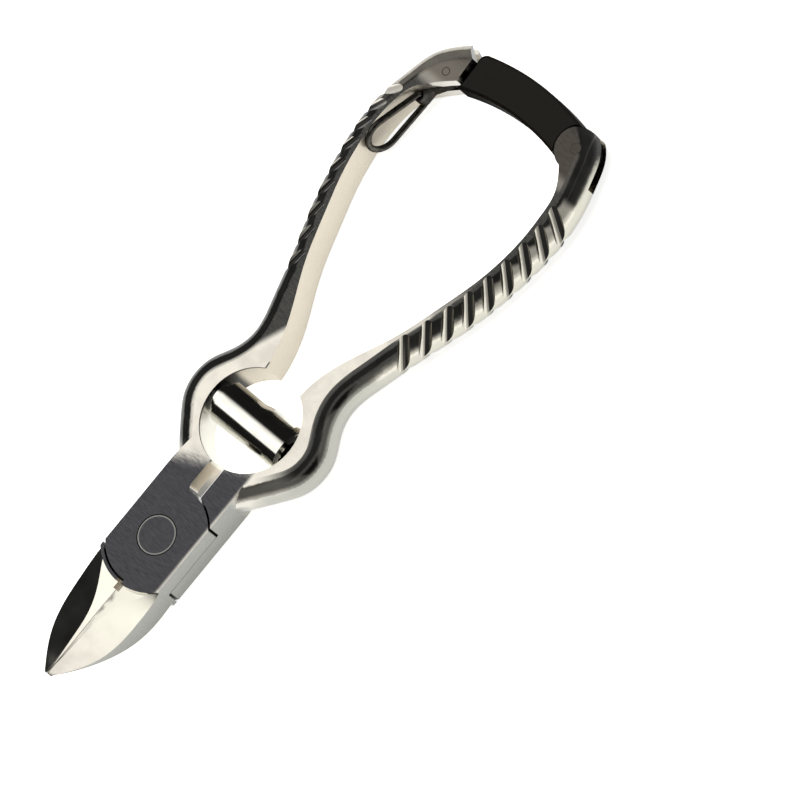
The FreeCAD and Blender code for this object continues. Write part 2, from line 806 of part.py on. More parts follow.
# Where the catch's nose and tail leave its round boss, as angles about its pin, the half width
# of the nose, and where the tail's straight sides end above the wire.
NOSE_ROOT_ANGLE = 150.0
NOSE_FOOT_ANGLE = 85.0
TAIL_FRONT_ANGLE = 310.0
TAIL_BACK_ANGLE = 200.0
NOSE_HALF = 0.3
TAIL_FRONT_RISE = 2.0
TAIL_BACK_RISE = 2.2


def make_catch_pawl(doc):
    """Flat catch: boss on its pin, nose under the tongue's notch and a tail to the wire."""
    body = new_body(doc, "catch_pawl")
    centre = (size("catch_x"), size("catch_y"))
    boss = size("boss_radius")
    tail_x, tail_y = LOOP_TOP
    half = size("tail_half_width")
    nose_y = TONGUE_LOW_Y - NOSE_GAP
    nose_root = on_circle(centre, boss, NOSE_ROOT_ANGLE)
    nose_foot = on_circle(centre, boss, NOSE_FOOT_ANGLE)
    tail_front = on_circle(centre, boss, TAIL_FRONT_ANGLE)
    tail_back = on_circle(centre, boss, TAIL_BACK_ANGLE)
    front = (tail_x + half, tail_y)
    back = (tail_x - half, tail_y)
    curves = chain(nose_root, (NOTCH_X - NOSE_HALF, nose_y), (NOTCH_X + NOSE_HALF, nose_y), nose_foot)
    curves += [round_arc(centre, nose_foot, tail_front, clockwise=True)]
    curves += chain(tail_front, (front[0], tail_y + TAIL_FRONT_RISE), front)
    curves += [round_arc(LOOP_TOP, front, back, clockwise=True)]
    curves += chain(back, (back[0], tail_y + TAIL_BACK_RISE), tail_back)
    curves += [round_arc(centre, tail_back, nose_root, clockwise=True)]
    sketch = new_sketch(body, "pawl_outline", "tool_thick / 2 - tongue_thick / 2")
    draw_outline(sketch, curves)
    pad(body, sketch, "tongue_thick", "pawl")
    round_hole(body, centre, "catch_pin_radius + running_gap", "0", "tool_thick", "pawl_hole")
    cut_wire_hole(body)
    return body


def cut_wire_hole(body):
    """Hole in the pawl's tail, square to the loop's legs."""
    across = loop_axes()[1]
    thick = size("tool_thick")
    drill = body.newObject("PartDesign::SubtractiveCylinder", "wire_hole")
    drill.setExpression("Radius", cell("wire_radius + wire_gap"))
    drill.setExpression("Height", cell("tool_thick"))
    start = loop_ends()[0] - across * (thick / 2)
    drill.Placement = Placement(start, Rotation(Vector(0, 0, 1), across))
    settle(drill)


def loop_path(length):
    """Half of the loop's middle line, from the middle of its top to its bottom point."""
    end = size("loop_end_radius")
    half = size("loop_top_half")
    corner = size("loop_corner")
    slope = math.asin((end - half) / length)
    foot = on_circle((0.0, 0.0), end, math.degrees(slope))
    centre = (half - corner, length - corner)
    shoulder = (centre[0], length)
    knee = on_circle(centre, corner, math.degrees(slope))
    return [line((0.0, length), shoulder),
            round_arc(centre, shoulder, knee, clockwise=True),
            line(knee, foot),
            round_arc((0.0, 0.0), foot, (0.0, -end), clockwise=True)]


def make_release_loop(doc):
    """Wire loop through the pawl's tail: its legs spread to a round end."""
    top, bottom = loop_ends()
    length = top.distanceToPoint(bottom)
    half = Part.Wire([curve.toShape() for curve in loop_path(length)])
    circle = Part.Circle(Vector(0, length, 0), Vector(1, 0, 0), size("wire_radius"))
    side = half.makePipe(Part.Face(Part.Wire(circle.toShape())))
    other = side.mirror(Vector(0, 0, 0), Vector(1, 0, 0))
    loop = side.fuse(other).removeSplitter()
    along, across = loop_axes()
    turn = Rotation(across, along, across.cross(along), "XYZ")
    return make_solid(doc, "release_loop", loop, Placement(bottom, turn))


# Bent strip of the catch's spring in plan: foot on the slot's floor, tip at the catch's boss.
SPRING_FOOT = (-21.4, 90.85)
SPRING_BEND = (-20.0, 90.85)
SPRING_TIP = (-16.0, 98.6)


def make_pawl_spring(doc):
    """Leaf spring in the slot behind the catch's tail."""
    body = new_body(doc, "pawl_spring")
    thick = size("leaf_thick")
    foot_end = (SPRING_FOOT[0], SPRING_FOOT[1] + thick)
    bend_top = (SPRING_BEND[0] - thick, SPRING_BEND[1] + thick)
    tip_back = (SPRING_TIP[0] - thick, SPRING_TIP[1])
    corners = [SPRING_FOOT, SPRING_BEND, SPRING_TIP, tip_back, bend_top, foot_end, SPRING_FOOT]
    sketch = new_sketch(body, "leaf_outline", "tool_thick / 2 - leaf_width / 2")
    draw_outline(sketch, chain(*corners))
    pad(body, sketch, "leaf_width", "leaf")
    return body


def make_solid(doc, label, shape, place):
    part = doc.addObject("Part::Feature", label)
    part.Shape = shape
    part.Placement = place
    part.Label = label
    return part


def build(doc):
    """Every sub-part, in the order it would be put together."""
    return [
        make_front_lever(doc),
        make_rear_lever(doc),
        make_pivot_rivet(doc),
        make_barrel_spring(doc),
        make_stud(doc, "front_spring_stud", -1),
        make_stud(doc, "rear_spring_stud", 1),
        make_latch_bar(doc),
        make_pin(doc, "latch_hinge_pin", (size("hinge_x"), size("hinge_y")), "hinge_pin_radius"),
        make_catch_pawl(doc),
        make_pin(doc, "catch_pin", (size("catch_x"), size("catch_y")), "catch_pin_radius"),
        make_release_loop(doc),
        make_pawl_spring(doc),
    ]


def check(doc, parts):
    for item in doc.Objects:
        if "Invalid" in item.State or "Error" in item.State:
            raise ValueError("%s failed: %s" % (item.Label, item.State))
    for part in parts:
        if part.Shape.isNull() or not part.Shape.isValid():
            raise ValueError(part.Label + " has no valid shape")
        if len(part.Shape.Solids) != 1:
            raise ValueError("%s has %d solids" % (part.Label, len(part.Shape.Solids)))


def main():
    doc = FreeCAD.newDocument("toenail_nipper")
    make_sheet(doc)
    parts = build(doc)
    doc.recompute()
    check(doc, parts)
    os.makedirs("parts", exist_ok=True)
    for part in parts:
        part.Shape.exportStep("parts/%s.step" % part.Label)
        print("%-20s %9.2f mm3" % (part.Label, part.Shape.Volume))


main()
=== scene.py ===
import math

import bpy
from mathutils import Matrix, Vector


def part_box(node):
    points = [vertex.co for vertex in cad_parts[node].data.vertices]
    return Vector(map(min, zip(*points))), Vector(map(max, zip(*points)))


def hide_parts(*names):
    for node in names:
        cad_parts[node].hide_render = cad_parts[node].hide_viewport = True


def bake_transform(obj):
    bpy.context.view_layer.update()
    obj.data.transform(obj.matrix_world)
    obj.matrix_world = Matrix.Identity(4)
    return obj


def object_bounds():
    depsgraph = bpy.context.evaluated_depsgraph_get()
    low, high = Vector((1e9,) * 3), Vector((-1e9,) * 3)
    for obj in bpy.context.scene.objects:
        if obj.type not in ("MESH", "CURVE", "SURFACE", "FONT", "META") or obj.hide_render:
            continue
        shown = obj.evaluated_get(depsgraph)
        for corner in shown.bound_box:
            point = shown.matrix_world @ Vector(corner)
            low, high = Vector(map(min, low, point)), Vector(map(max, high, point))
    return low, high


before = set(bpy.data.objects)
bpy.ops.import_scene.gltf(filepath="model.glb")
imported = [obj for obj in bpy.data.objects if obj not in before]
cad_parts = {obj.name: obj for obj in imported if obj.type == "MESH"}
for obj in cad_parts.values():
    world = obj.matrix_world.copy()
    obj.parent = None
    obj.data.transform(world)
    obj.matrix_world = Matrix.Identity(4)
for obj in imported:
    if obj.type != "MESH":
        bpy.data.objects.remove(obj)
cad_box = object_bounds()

# Toenail nipper lying on a pale table. Metres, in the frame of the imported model: +Y along the
# tool from the tip to the handle ends, +Z out of the front face, origin under the pivot.

MM = 0.001
SPRING_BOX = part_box("barrel_spring")


# ---------------------------------------------------------------- node helpers


class Graph:
    """A node tree, with one short method for each kind of step."""

    def __init__(self, tree):
        self.tree = tree

    def node(self, kind, **settings):
        made = self.tree.nodes.new(kind)
        for key, value in settings.items():
            setattr(made, key, value)
        return made

    def put(self, value, socket):
        """Set a socket to a number or colour, or link an output to it."""
        if isinstance(value, bpy.types.NodeSocket):
            self.tree.links.new(value, socket)
        elif hasattr(value, "__len__") and len(value) == 3 and len(socket.default_value) == 4:
            socket.default_value = (*value, 1.0)
        else:
            socket.default_value = value

    def math(self, operation, first, second=0.0):
        step = self.node("ShaderNodeMath", operation=operation)
        self.put(first, step.inputs[0])
        self.put(second, step.inputs[1])
        return step.outputs[0]

    def vector(self, operation, first, second):
        step = self.node("ShaderNodeVectorMath", operation=operation)
        self.put(first, step.inputs[0])
        step.inputs[1].default_value = second
        return step.outputs

    def both(self, *masks):
        """Where all of the masks are."""
        result = masks[0]
        for mask in masks[1:]:
            result = self.math("MULTIPLY", result, mask)
        return result

    def either(self, *masks):
        """Where at least one of the masks is."""
        result = masks[0]
        for mask in masks[1:]:
            result = self.math("MAXIMUM", result, mask)
        return result

    def ramp(self, value, limits):
        """0 at the first limit, 1 at the second, smooth between; either may be the larger one."""
        step = self.node("ShaderNodeMapRange", interpolation_type="SMOOTHSTEP")
        turned = limits[0] > limits[1]
        self.put(value, step.inputs["Value"])
        self.put(min(limits), step.inputs["From Min"])
        self.put(max(limits), step.inputs["From Max"])
        self.put(1.0 if turned else 0.0, step.inputs["To Min"])
        self.put(0.0 if turned else 1.0, step.inputs["To Max"])
        return step.outputs[0]

    def mix(self, mask, off, on):
        """Number or colour that goes from off to on with the mask."""
        colour = any(hasattr(value, "__len__") and not isinstance(value, bpy.types.NodeSocket)
                     or isinstance(value, bpy.types.NodeSocketColor) for value in (off, on))
        step = self.node("ShaderNodeMix", data_type="RGBA" if colour else "FLOAT")
        inputs = [socket for socket in step.inputs if socket.enabled]
        for value, socket in zip((mask, off, on), inputs):
            self.put(value, socket)
        return [socket for socket in step.outputs if socket.enabled][0]

    def parts(self, vector):
        step = self.node("ShaderNodeSeparateXYZ")
        self.put(vector, step.inputs[0])
        return step.outputs


class Metal(Graph):
    """A material's node tree; a bare metal unless told otherwise."""

    def __init__(self, name):
        self.material = bpy.data.materials.new(name)
        self.material.use_nodes = True
        super().__init__(self.material.node_tree)
        self.shader = self.tree.nodes["Principled BSDF"]
        self.shader.inputs["Metallic"].default_value = 1.0

    def place(self):
        """Place on the object in millimetres, and the surface's direction there."""
        coordinates = self.node("ShaderNodeTexCoord")
        scaled = self.node("ShaderNodeVectorMath", operation="SCALE")
        self.put(coordinates.outputs["Object"], scaled.inputs[0])
        self.put(1.0 / MM, scaled.inputs["Scale"])
        return scaled.outputs[0], coordinates.outputs["Normal"]

    def noise(self, place, pattern):
        """Noise of a pattern: features of about 1 / scale millimetres, detail, and stretch."""
        scale, detail, stretch = pattern
        moved = self.node("ShaderNodeMapping")
        self.put(place, moved.inputs["Vector"])
        moved.inputs["Scale"].default_value = stretch
        noise = self.node("ShaderNodeTexNoise")
        self.put(moved.outputs[0], noise.inputs["Vector"])
        noise.inputs["Scale"].default_value = scale
        noise.inputs["Detail"].default_value = detail
        return noise.outputs["Fac"]

    def bump(self, height, relief):
        """Relief by a strength and a depth in millimetres."""
        strength, depth = relief
        step = self.node("ShaderNodeBump")
        self.put(height, step.inputs["Height"])
        step.inputs["Strength"].default_value = strength
        step.inputs["Distance"].default_value = depth * MM
        self.put(step.outputs[0], self.shader.inputs["Normal"])

    def finish(self, colour, roughness, grazing=None):
        """Colour and roughness of the surface, and of a metal what it tends to at grazing angles."""
        if grazing is not None:
            self.put(grazing, self.shader.inputs["Specular Tint"])
        self.put(colour, self.shader.inputs["Base Color"])
        self.put(roughness, self.shader.inputs["Roughness"])
        return self.material


# ---------------------------------------------------------------- colours and patterns

POLISHED = (0.56, 0.54, 0.49)
SMEARED = (0.47, 0.45, 0.41)
# Painted dark reflection on the ground joint face and the rivet's head, with paler streaks.
GROUND_DARK_REFLECTION = (0.045, 0.045, 0.052)
GROUND_DARK_REFLECTION_PALER = (0.095, 0.095, 0.105)
# Painted dark: dark reflections on the handles, ear ends and left jaw's bevel, and shade in the
# joint's gap and on the bows' walls.
PAINTED_DARK = (0.012, 0.012, 0.011)
PAINTED_DARK_PALER = (0.06, 0.06, 0.055)
SATIN = (0.72, 0.66, 0.55)
SATIN_DARK = (0.59, 0.54, 0.45)
SIDE = (0.33, 0.335, 0.31)
SIDE_DARK = (0.22, 0.225, 0.21)
# Painted reflection on the right handle's outer side: the floor's reflection toned down to grey, and
# paler further along.
OUTER_REFLECTION = (0.33, 0.33, 0.30)
OUTER_REFLECTION_PALE = (0.46, 0.45, 0.39)
JAW_HIGHLIGHT = (0.69, 0.675, 0.60)
WALL_PAINTED_LIGHT = (0.86, 0.85, 0.78)
GROOVE_HIGHLIGHT = (0.74, 0.71, 0.62)
# Ears: painted dark reflection, with paler tones.
EAR = (0.055, 0.049, 0.043)
EAR_LIGHT = (0.095, 0.086, 0.075)
EAR_PALE = (0.17, 0.155, 0.135)
EAR_RIM_REFLECTION = (0.42, 0.40, 0.34)
RIVET_RING_HIGHLIGHT = (0.26, 0.26, 0.25)
HINGE_RING = (0.045, 0.04, 0.036)
CATCH_RING = (0.02, 0.018, 0.016)
BAR_DARK_REFLECTION = (0.010, 0.010, 0.009)
BAR_SPECKLE = (0.032, 0.031, 0.028)
BAR_BEVEL_SHEEN = (0.03, 0.028, 0.025)
STUD = (0.85, 0.84, 0.80)
STUD_DULL = (0.7, 0.69, 0.66)
SPRING = (0.72, 0.71, 0.67)
SPRING_DULL = (0.55, 0.54, 0.50)
CATCH = (0.10, 0.095, 0.09)
CATCH_DULL = (0.06, 0.058, 0.055)
# Wire: bright steel painted near black as a dark reflection.
WIRE = (0.05, 0.048, 0.043)
WIRE_DULL = (0.10, 0.095, 0.085)
DARK_GRAZING = (0.15, 0.15, 0.14)
LESS_METAL_SHARE = 0.55       # share of bare metal on the painted dark bands and grips, the painted groove highlights and rim reflection, and the inner flanks

EVEN = (1.0, 1.0, 1.0)
BRUSH = (2.2, 6.0, (0.35, 6.0, 1.0))
SMUDGE = (0.22, 3.0, EVEN)
GRAIN = (7.0, 2.0, EVEN)
BAR_BRUSH = (2.5, 6.0, (0.4, 6.0, 1.0))
SPECKLE = (8.0, 2.0, EVEN)
ROLLING_SMEARS = (0.8, 4.0, (0.3, 2.0, 2.0))
ROLLING_LINES = (5.0, 3.0, (0.15, 4.0, 4.0))
BLOTCHES = (1.2, 4.0, EVEN)
STAMPED_GRAIN = (10.0, 2.0, EVEN)
MOTTLE = (0.02, 2.0, EVEN)

BRUSHED_RELIEF = (0.25, 0.015)
ROLLED_RELIEF = (0.15, 0.01)
STAMPED_RELIEF = (0.2, 0.01)
SMUDGE_RELIEF = 0.05       # of the brushed relief
SPECKLE_RELIEF = 0.5       # of the brushed relief

POLISHED_ROUGH = (0.06, 0.11)
BRUSHED_ROUGH = (0.3, 0.46)
BAR_ROUGH = (0.36, 0.5)
BAR_BEVEL_ROUGH = (0.25, 0.38)
STAMPED_ROUGH = (0.22, 0.38)
BRIGHT_ROUGH = (0.06, 0.13)
TABLE_ROUGH = 0.8

# How a noise is spread into a mask.
SMEAR_SPREAD = (0.35, 0.7)
GRIP_SPREAD = (0.35, 0.8)
GROUND_SPREAD = (0.3, 0.75)
PLAIN_SPREAD = (0.3, 0.7)
ROLLED_SPREAD = (0.4, 0.75)


# ---------------------------------------------------------------- zones of the levers

# Most pairs are limits: a mask is 0 at the first number and 1 at the second. Pairs that end in
# _TURN limit the surface's direction along X, and those in _UP along Z. The other limits are
# places in millimetres. _LEAN is the slope of a zone's edge, and _RAGGED is how far noise moves
# it. GROOVE_ACROSS is the direction across the grooves in X and Y, and GROOVE_TILT limits the
# surface's direction along it.

RIGHT_HALF = (-0.5, 0.5)
FLAT_UP = (0.96, 0.99)
UPRIGHT_UP = (0.4, 0.2)
FRONT_FACE = (7.9, 7.97)
BACK_FACE = (0.1, 0.03)

JOINT_LEAN = -0.45
JOINT_RAGGED = 4.0
JOINT_END = (19.0, 14.6)
JOINT_RIGHT = (7.9, 6.9)
GAP_INNER = (9.8, 9.9)
GAP_OUTER = (10.5, 10.4)
GAP_DEEP = (7.9, 7.8)
GAP_SIDE = (7.62, 7.5)
GAP_ALONG = (5.0, 5.5)

GRIP_LEAN = 0.46
GRIP_LEFT_SIDE = (25.6, 27.4)
GRIP_LEFT_FROM = (26.0, 30.0)
GRIP_RAGGED = 8.0
GRIP_RIGHT_FROM = (56.0, 80.0)
GRIP_TO = (97.0, 93.0)

EAR_FROM = (93.0, 97.0)
EAR_DARK_FROM = (99.0, 103.0)
EAR_TIP_FROM = (100.0, 101.5)
RIM_FROM = (84.0, 92.0)

LEFT_BAND_OUT_TURN = (-0.84, -0.68)
LEFT_BAND_IN_TURN = (-0.02, -0.2)
LEFT_BAND_FROM = (13.0, 17.0)
LEFT_BAND_TO = (92.0, 84.0)
BOW_BAND_IN_TURN = (-0.01, 0.1)
BOW_BAND_OUT_TURN = (0.6, 0.4)
BOW_BAND_FROM = (18.0, 25.0)
GRIP_BAND_IN_TURN = (0.02, 0.16)
GRIP_BAND_OUT_TURN = (0.8, 0.64)
GRIP_BAND_FROM = (50.0, 56.0)
GRIP_BAND_TO = (98.0, 92.0)
EAR_BAND_IN_TURN = (0.3, 0.5)
EAR_BAND_OUT_TURN = (0.9, 0.75)
EAR_BAND_FROM = (82.0, 92.0)

JAW_FROM = (-30.0, -12.0)
JAW_TO = (-7.0, -8.0)
JAW_UP = (0.4, 0.6)
BEVEL_TO = (-6.0, -7.0)
BEVEL_SIDE = (-0.2, -0.6)
BEVEL_TURN = (-0.12, -0.15)
BEVEL_UP = (0.3, 0.6)

INWARD_TURN = (-0.6, -0.85)
HEEL_SLOT_SIDE = (2.6, 2.4)
HEEL_SLOT_FROM = (10.6, 10.9)
HEEL_NOTCH_SIDE = (0.8, 0.76)
HEEL_NOTCH_TO = (-9.9, -10.0)
HEEL_NOTCH_FROM = (-12.5, -12.4)
BOW_SIDE = (10.3, 10.2)
BOW_FROM = (16.0, 16.4)
BOW_TO = (37.2, 36.9)
BOW_LOW_TO = (27.5, 26.5)
BOW_DARK_FROM = (26.5, 27.5)
BOW_DARK_TO = (32.5, 31.0)
BOW_EDGE = (7.35, 7.5)
FLANK_FROM = (33.0, 35.0)
FLANK_TO = (99.0, 98.0)

SIDE_TURN = (0.6, 0.75)
SIDE_TO = (15.0, 12.0)
SIDE_OFF = (1.0, 2.5)
OUTER_TURN = (0.5, 0.8)
OUTER_FROM = (14.0, 18.0)
OUTER_PALE_FROM = (35.0, 60.0)
GROOVE_ACROSS = (0.64, 0.77)
GROOVE_FROM = (46.0, 48.0)
GROOVE_TO = (94.0, 92.0)
GROOVE_TILT = (0.22, 0.34)
GROOVE_UP = (0.3, 0.5)


class LeverSurface:
    """Place and direction of a lever's surface, and its noises and coarse masks."""

    def __init__(self, g):
        place, normal = g.place()
        self.x, self.y, self.z = g.parts(place)
        self.nx, self.ny, self.nz = g.parts(normal)
        self.streaks = g.noise(place, BRUSH)
        self.smudge = g.noise(place, SMUDGE)
        self.grain = g.noise(place, GRAIN)
        self.right = g.ramp(self.x, RIGHT_HALF)
        self.left = g.math("SUBTRACT", 1.0, self.right)
        self.flat = g.ramp(g.math("ABSOLUTE", self.nz), FLAT_UP)
        self.upright = g.ramp(g.math("ABSOLUTE", self.nz), UPRIGHT_UP)
        self.faces = g.either(g.ramp(self.z, FRONT_FACE), g.ramp(self.z, BACK_FACE))
        self.off_axis = g.math("ABSOLUTE", self.x)


def joint_mask(g, s):
    """Flat faces of the lap joint, with a painted dark reflection, fading raggedly into the bows."""
    limit = g.math("ADD", s.y, g.math("MULTIPLY", s.x, JOINT_LEAN))
    ragged = g.math("MULTIPLY", g.math("SUBTRACT", s.streaks, 0.5), JOINT_RAGGED)
    fade = g.math("ADD", limit, ragged)
    return g.both(s.flat, s.faces, g.ramp(fade, JOINT_END), g.ramp(s.x, JOINT_RIGHT))


def gap_mask(g, s):
    """Walls of the narrow gap around the round end of the joint's plate, painted dark as shade."""
    square = g.math("ADD", g.math("MULTIPLY", s.x, s.x), g.math("MULTIPLY", s.y, s.y))
    reach = g.math("SQRT", square)
    return g.both(g.ramp(reach, GAP_INNER), g.ramp(reach, GAP_OUTER), g.ramp(s.z, GAP_DEEP),
                  g.ramp(s.off_axis, GAP_SIDE), g.ramp(g.math("ABSOLUTE", s.y), GAP_ALONG))


def grip_mask(g, s):
    """Painted dark reflection on the handles' flats, in streaks."""
    lean = g.math("SUBTRACT", g.math("MULTIPLY", s.y, GRIP_LEAN), s.x)
    left = g.both(s.left, g.ramp(lean, GRIP_LEFT_SIDE), g.ramp(s.y, GRIP_LEFT_FROM))
    ragged = g.math("ADD", s.y, g.math("MULTIPLY", s.smudge, GRIP_RAGGED))
    right = g.both(s.right, g.ramp(ragged, GRIP_RIGHT_FROM))
    return g.both(s.flat, g.either(left, right), g.ramp(s.y, GRIP_TO))


def band_mask(g, s):
    """Painted dark reflections along the handles' roundings, the left ear's end and the left jaw's
    bevel.
    """
    left = g.both(s.left, g.ramp(s.nx, LEFT_BAND_OUT_TURN), g.ramp(s.nx, LEFT_BAND_IN_TURN),
                  g.ramp(s.y, LEFT_BAND_FROM), g.ramp(s.y, LEFT_BAND_TO))
    bow = g.both(g.ramp(s.nx, BOW_BAND_IN_TURN), g.ramp(s.nx, BOW_BAND_OUT_TURN),
                 g.ramp(s.y, BOW_BAND_FROM))
    ear = g.both(g.ramp(s.nx, EAR_BAND_IN_TURN), g.ramp(s.nx, EAR_BAND_OUT_TURN),
                 g.ramp(s.y, EAR_BAND_FROM))
    grip = g.both(g.ramp(s.nx, GRIP_BAND_IN_TURN), g.ramp(s.nx, GRIP_BAND_OUT_TURN),
                  g.ramp(s.y, GRIP_BAND_FROM), g.ramp(s.y, GRIP_BAND_TO))
    right = g.both(s.right, g.either(bow, grip, ear))
    tip = g.both(s.upright, g.ramp(s.y, EAR_TIP_FROM))
    bevel = g.both(g.ramp(s.y, BEVEL_TO), g.ramp(s.x, BEVEL_SIDE), g.ramp(s.nx, BEVEL_TURN),
                   g.ramp(s.nz, BEVEL_UP))
    return g.either(g.either(left, right), g.either(tip, bevel))


def bow_mask(g, s):
    """Round inner walls of the bows."""
    return g.both(g.ramp(s.off_axis, BOW_SIDE), g.ramp(s.y, BOW_FROM), g.ramp(s.y, BOW_TO))


def flank_mask(g, s):
    """Inner faces of the handles, which face each other."""
    inward = g.ramp(g.math("MULTIPLY", g.math("SIGN", s.x), s.nx), INWARD_TURN)
    return g.both(inward, g.ramp(s.y, FLANK_FROM), g.ramp(s.y, FLANK_TO))


def inner_mask(g, s, bow_wall, flank):
    """All upright inner faces: slot and notch of the heels, bows and flanks."""
    heel_slot = g.both(g.ramp(s.off_axis, HEEL_SLOT_SIDE), g.ramp(s.y, HEEL_SLOT_FROM))
    heel_notch = g.both(g.ramp(s.off_axis, HEEL_NOTCH_SIDE), g.ramp(s.y, HEEL_NOTCH_TO),
                        g.ramp(s.y, HEEL_NOTCH_FROM))
    return g.both(s.upright, g.either(g.either(heel_slot, heel_notch, bow_wall), flank))


def side_mask(g, s):
    """Outer walls of the joint and the jaws."""
    turn = g.ramp(g.math("ABSOLUTE", s.nx), SIDE_TURN)
    return g.both(s.upright, turn, g.ramp(s.y, SIDE_TO), g.ramp(s.off_axis, SIDE_OFF))


def groove_mask(g, s):
    """Sides of the right handle's grooves that face the handle's end, with a painted highlight."""
    across = g.math("ADD", g.math("MULTIPLY", s.nx, GROOVE_ACROSS[0]),
                    g.math("MULTIPLY", s.ny, GROOVE_ACROSS[1]))
    return g.both(s.right, g.ramp(s.y, GROOVE_FROM), g.ramp(s.y, GROOVE_TO),
                  g.ramp(across, GROOVE_TILT), g.ramp(s.nz, GROOVE_UP))


def lever_steel():
    """Polished forging with satin inner faces, and painted dark reflections on its ground joint face
    and grips.
    """
    g = Metal("lever_steel")
    s = LeverSurface(g)
    on_joint = joint_mask(g, s)
    on_grip = grip_mask(g, s)
    on_end = g.both(s.flat, g.ramp(s.y, EAR_FROM), s.faces)
    bands = band_mask(g, s)
    # Painted pale reflection on the left handle's outer rounding near its ear.
    rim = g.both(s.left, g.ramp(s.nx, LEFT_BAND_IN_TURN), g.ramp(s.y, RIM_FROM))
    bow_wall = bow_mask(g, s)
    flank = flank_mask(g, s)
    inner = inner_mask(g, s, bow_wall, flank)
    side = side_mask(g, s)
    in_groove = groove_mask(g, s)
    # Painted light on the bows' lower inner walls, and painted shade higher up them and along their
    # top edge.
    bow_lit = g.both(s.upright, bow_wall, g.ramp(s.y, BOW_LOW_TO))
    bow_shade = g.both(s.upright, bow_wall, g.ramp(s.y, BOW_DARK_FROM), g.ramp(s.y, BOW_DARK_TO))
    bow_edge_shade = g.both(s.upright, bow_wall, g.ramp(s.z, BOW_EDGE))
    # Painted reflection: the right handle's outward-facing side toned down to grey, paler further
    # along the handle.
    outer = g.both(s.right, g.ramp(s.nx, OUTER_TURN), g.ramp(s.y, OUTER_FROM))
    # Painted highlight on the jaws' top faces, fading towards the tips.
    jaw = g.both(g.ramp(s.y, JAW_FROM), g.ramp(s.y, JAW_TO), g.ramp(s.nz, JAW_UP))

    brushed = g.ramp(s.streaks, PLAIN_SPREAD)
    # Painted dark reflection on the ears' flats; the left ear stays pale near its root.
    ear_left = g.mix(g.ramp(s.y, EAR_DARK_FROM), EAR_PALE, EAR)
    ear_dark = g.mix(s.right, ear_left, EAR)
    ear_light = g.mix(s.right, EAR_PALE, EAR_LIGHT)
    layers = (
        (jaw, JAW_HIGHLIGHT),
        (outer, g.mix(g.ramp(s.y, OUTER_PALE_FROM), OUTER_REFLECTION, OUTER_REFLECTION_PALE)),
        (bands, g.mix(s.smudge, PAINTED_DARK, PAINTED_DARK_PALER)),
        (rim, g.mix(s.smudge, EAR_PALE, EAR_RIM_REFLECTION)),
        (on_grip, g.mix(g.ramp(s.streaks, GRIP_SPREAD), PAINTED_DARK, PAINTED_DARK_PALER)),
        (in_groove, GROOVE_HIGHLIGHT),
        (on_joint, g.mix(g.ramp(s.streaks, GROUND_SPREAD), GROUND_DARK_REFLECTION, GROUND_DARK_REFLECTION_PALER)),
        (on_end, g.mix(brushed, ear_dark, ear_light)),
        (inner, g.mix(g.ramp(s.grain, PLAIN_SPREAD), SATIN_DARK, SATIN)),
        (bow_lit, WALL_PAINTED_LIGHT),
        (g.either(bow_shade, bow_edge_shade), PAINTED_DARK_PALER),
        (side, g.mix(brushed, SIDE_DARK, SIDE)),
        (gap_mask(g, s), PAINTED_DARK),
    )
    colour = g.mix(g.ramp(s.smudge, SMEAR_SPREAD), POLISHED, SMEARED)
    for mask, tone in layers:
        colour = g.mix(mask, colour, tone)

    dull = g.either(g.either(on_joint, on_end), g.either(inner, side))
    # Streaks and grain give relief on the dull faces and on the painted dark grips.
    grained = g.either(dull, on_grip)
    less_metal = g.either(g.either(bands, on_grip), g.either(flank, in_groove))
    less_metal = g.either(less_metal, rim)
    g.put(g.mix(less_metal, 1.0, LESS_METAL_SHARE), g.shader.inputs["Metallic"])
    rough = g.mix(dull, g.mix(s.smudge, *POLISHED_ROUGH), g.mix(s.streaks, *BRUSHED_ROUGH))
    smooth_relief = g.math("MULTIPLY", s.smudge, SMUDGE_RELIEF)
    height = g.mix(grained, smooth_relief, g.math("ADD", s.streaks, s.grain))
    g.bump(height, BRUSHED_RELIEF)
    return g.finish(colour, rough)


# ---------------------------------------------------------------- other materials

# Rings on the heads of the rivet and pins: inner and outer radius in millimetres.
RIVET_RING_SPAN = (3.45, 3.8)
HINGE_RING_SPAN = (0.95, 1.3)
CATCH_RING_SPAN = (0.62, 0.9)
RING_INNER_EDGE = 0.08
RING_OUTER_EDGE = 0.06

BAR_BEVEL_FROM_UP = (0.3, 0.55)
BAR_BEVEL_TO_UP = (0.95, 0.85)


def ground_steel(name, node, tones, rim, ring):
    """Head ground flush with the part around it: brushed, with a ring near its rim."""
    g = Metal(name)
    place = g.place()[0]
    streaks = g.noise(place, BRUSH)
    low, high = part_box(node)
    offset = g.vector("SUBTRACT", place, (low + high) / 2 / MM)[0]
    level = g.vector("MULTIPLY", offset, (1.0, 1.0, 0.0))[0]
    reach = g.vector("LENGTH", level, (0.0, 0.0, 0.0))["Value"]
    inner, outer = ring
    on_ring = g.both(g.ramp(reach, (inner, inner + RING_INNER_EDGE)),
                     g.ramp(reach, (outer, outer - RING_OUTER_EDGE)))
    colour = g.mix(on_ring, g.mix(g.ramp(streaks, GROUND_SPREAD), *tones), rim)
    g.bump(streaks, BRUSHED_RELIEF)
    return g.finish(colour, g.mix(streaks, *BRUSHED_ROUGH))


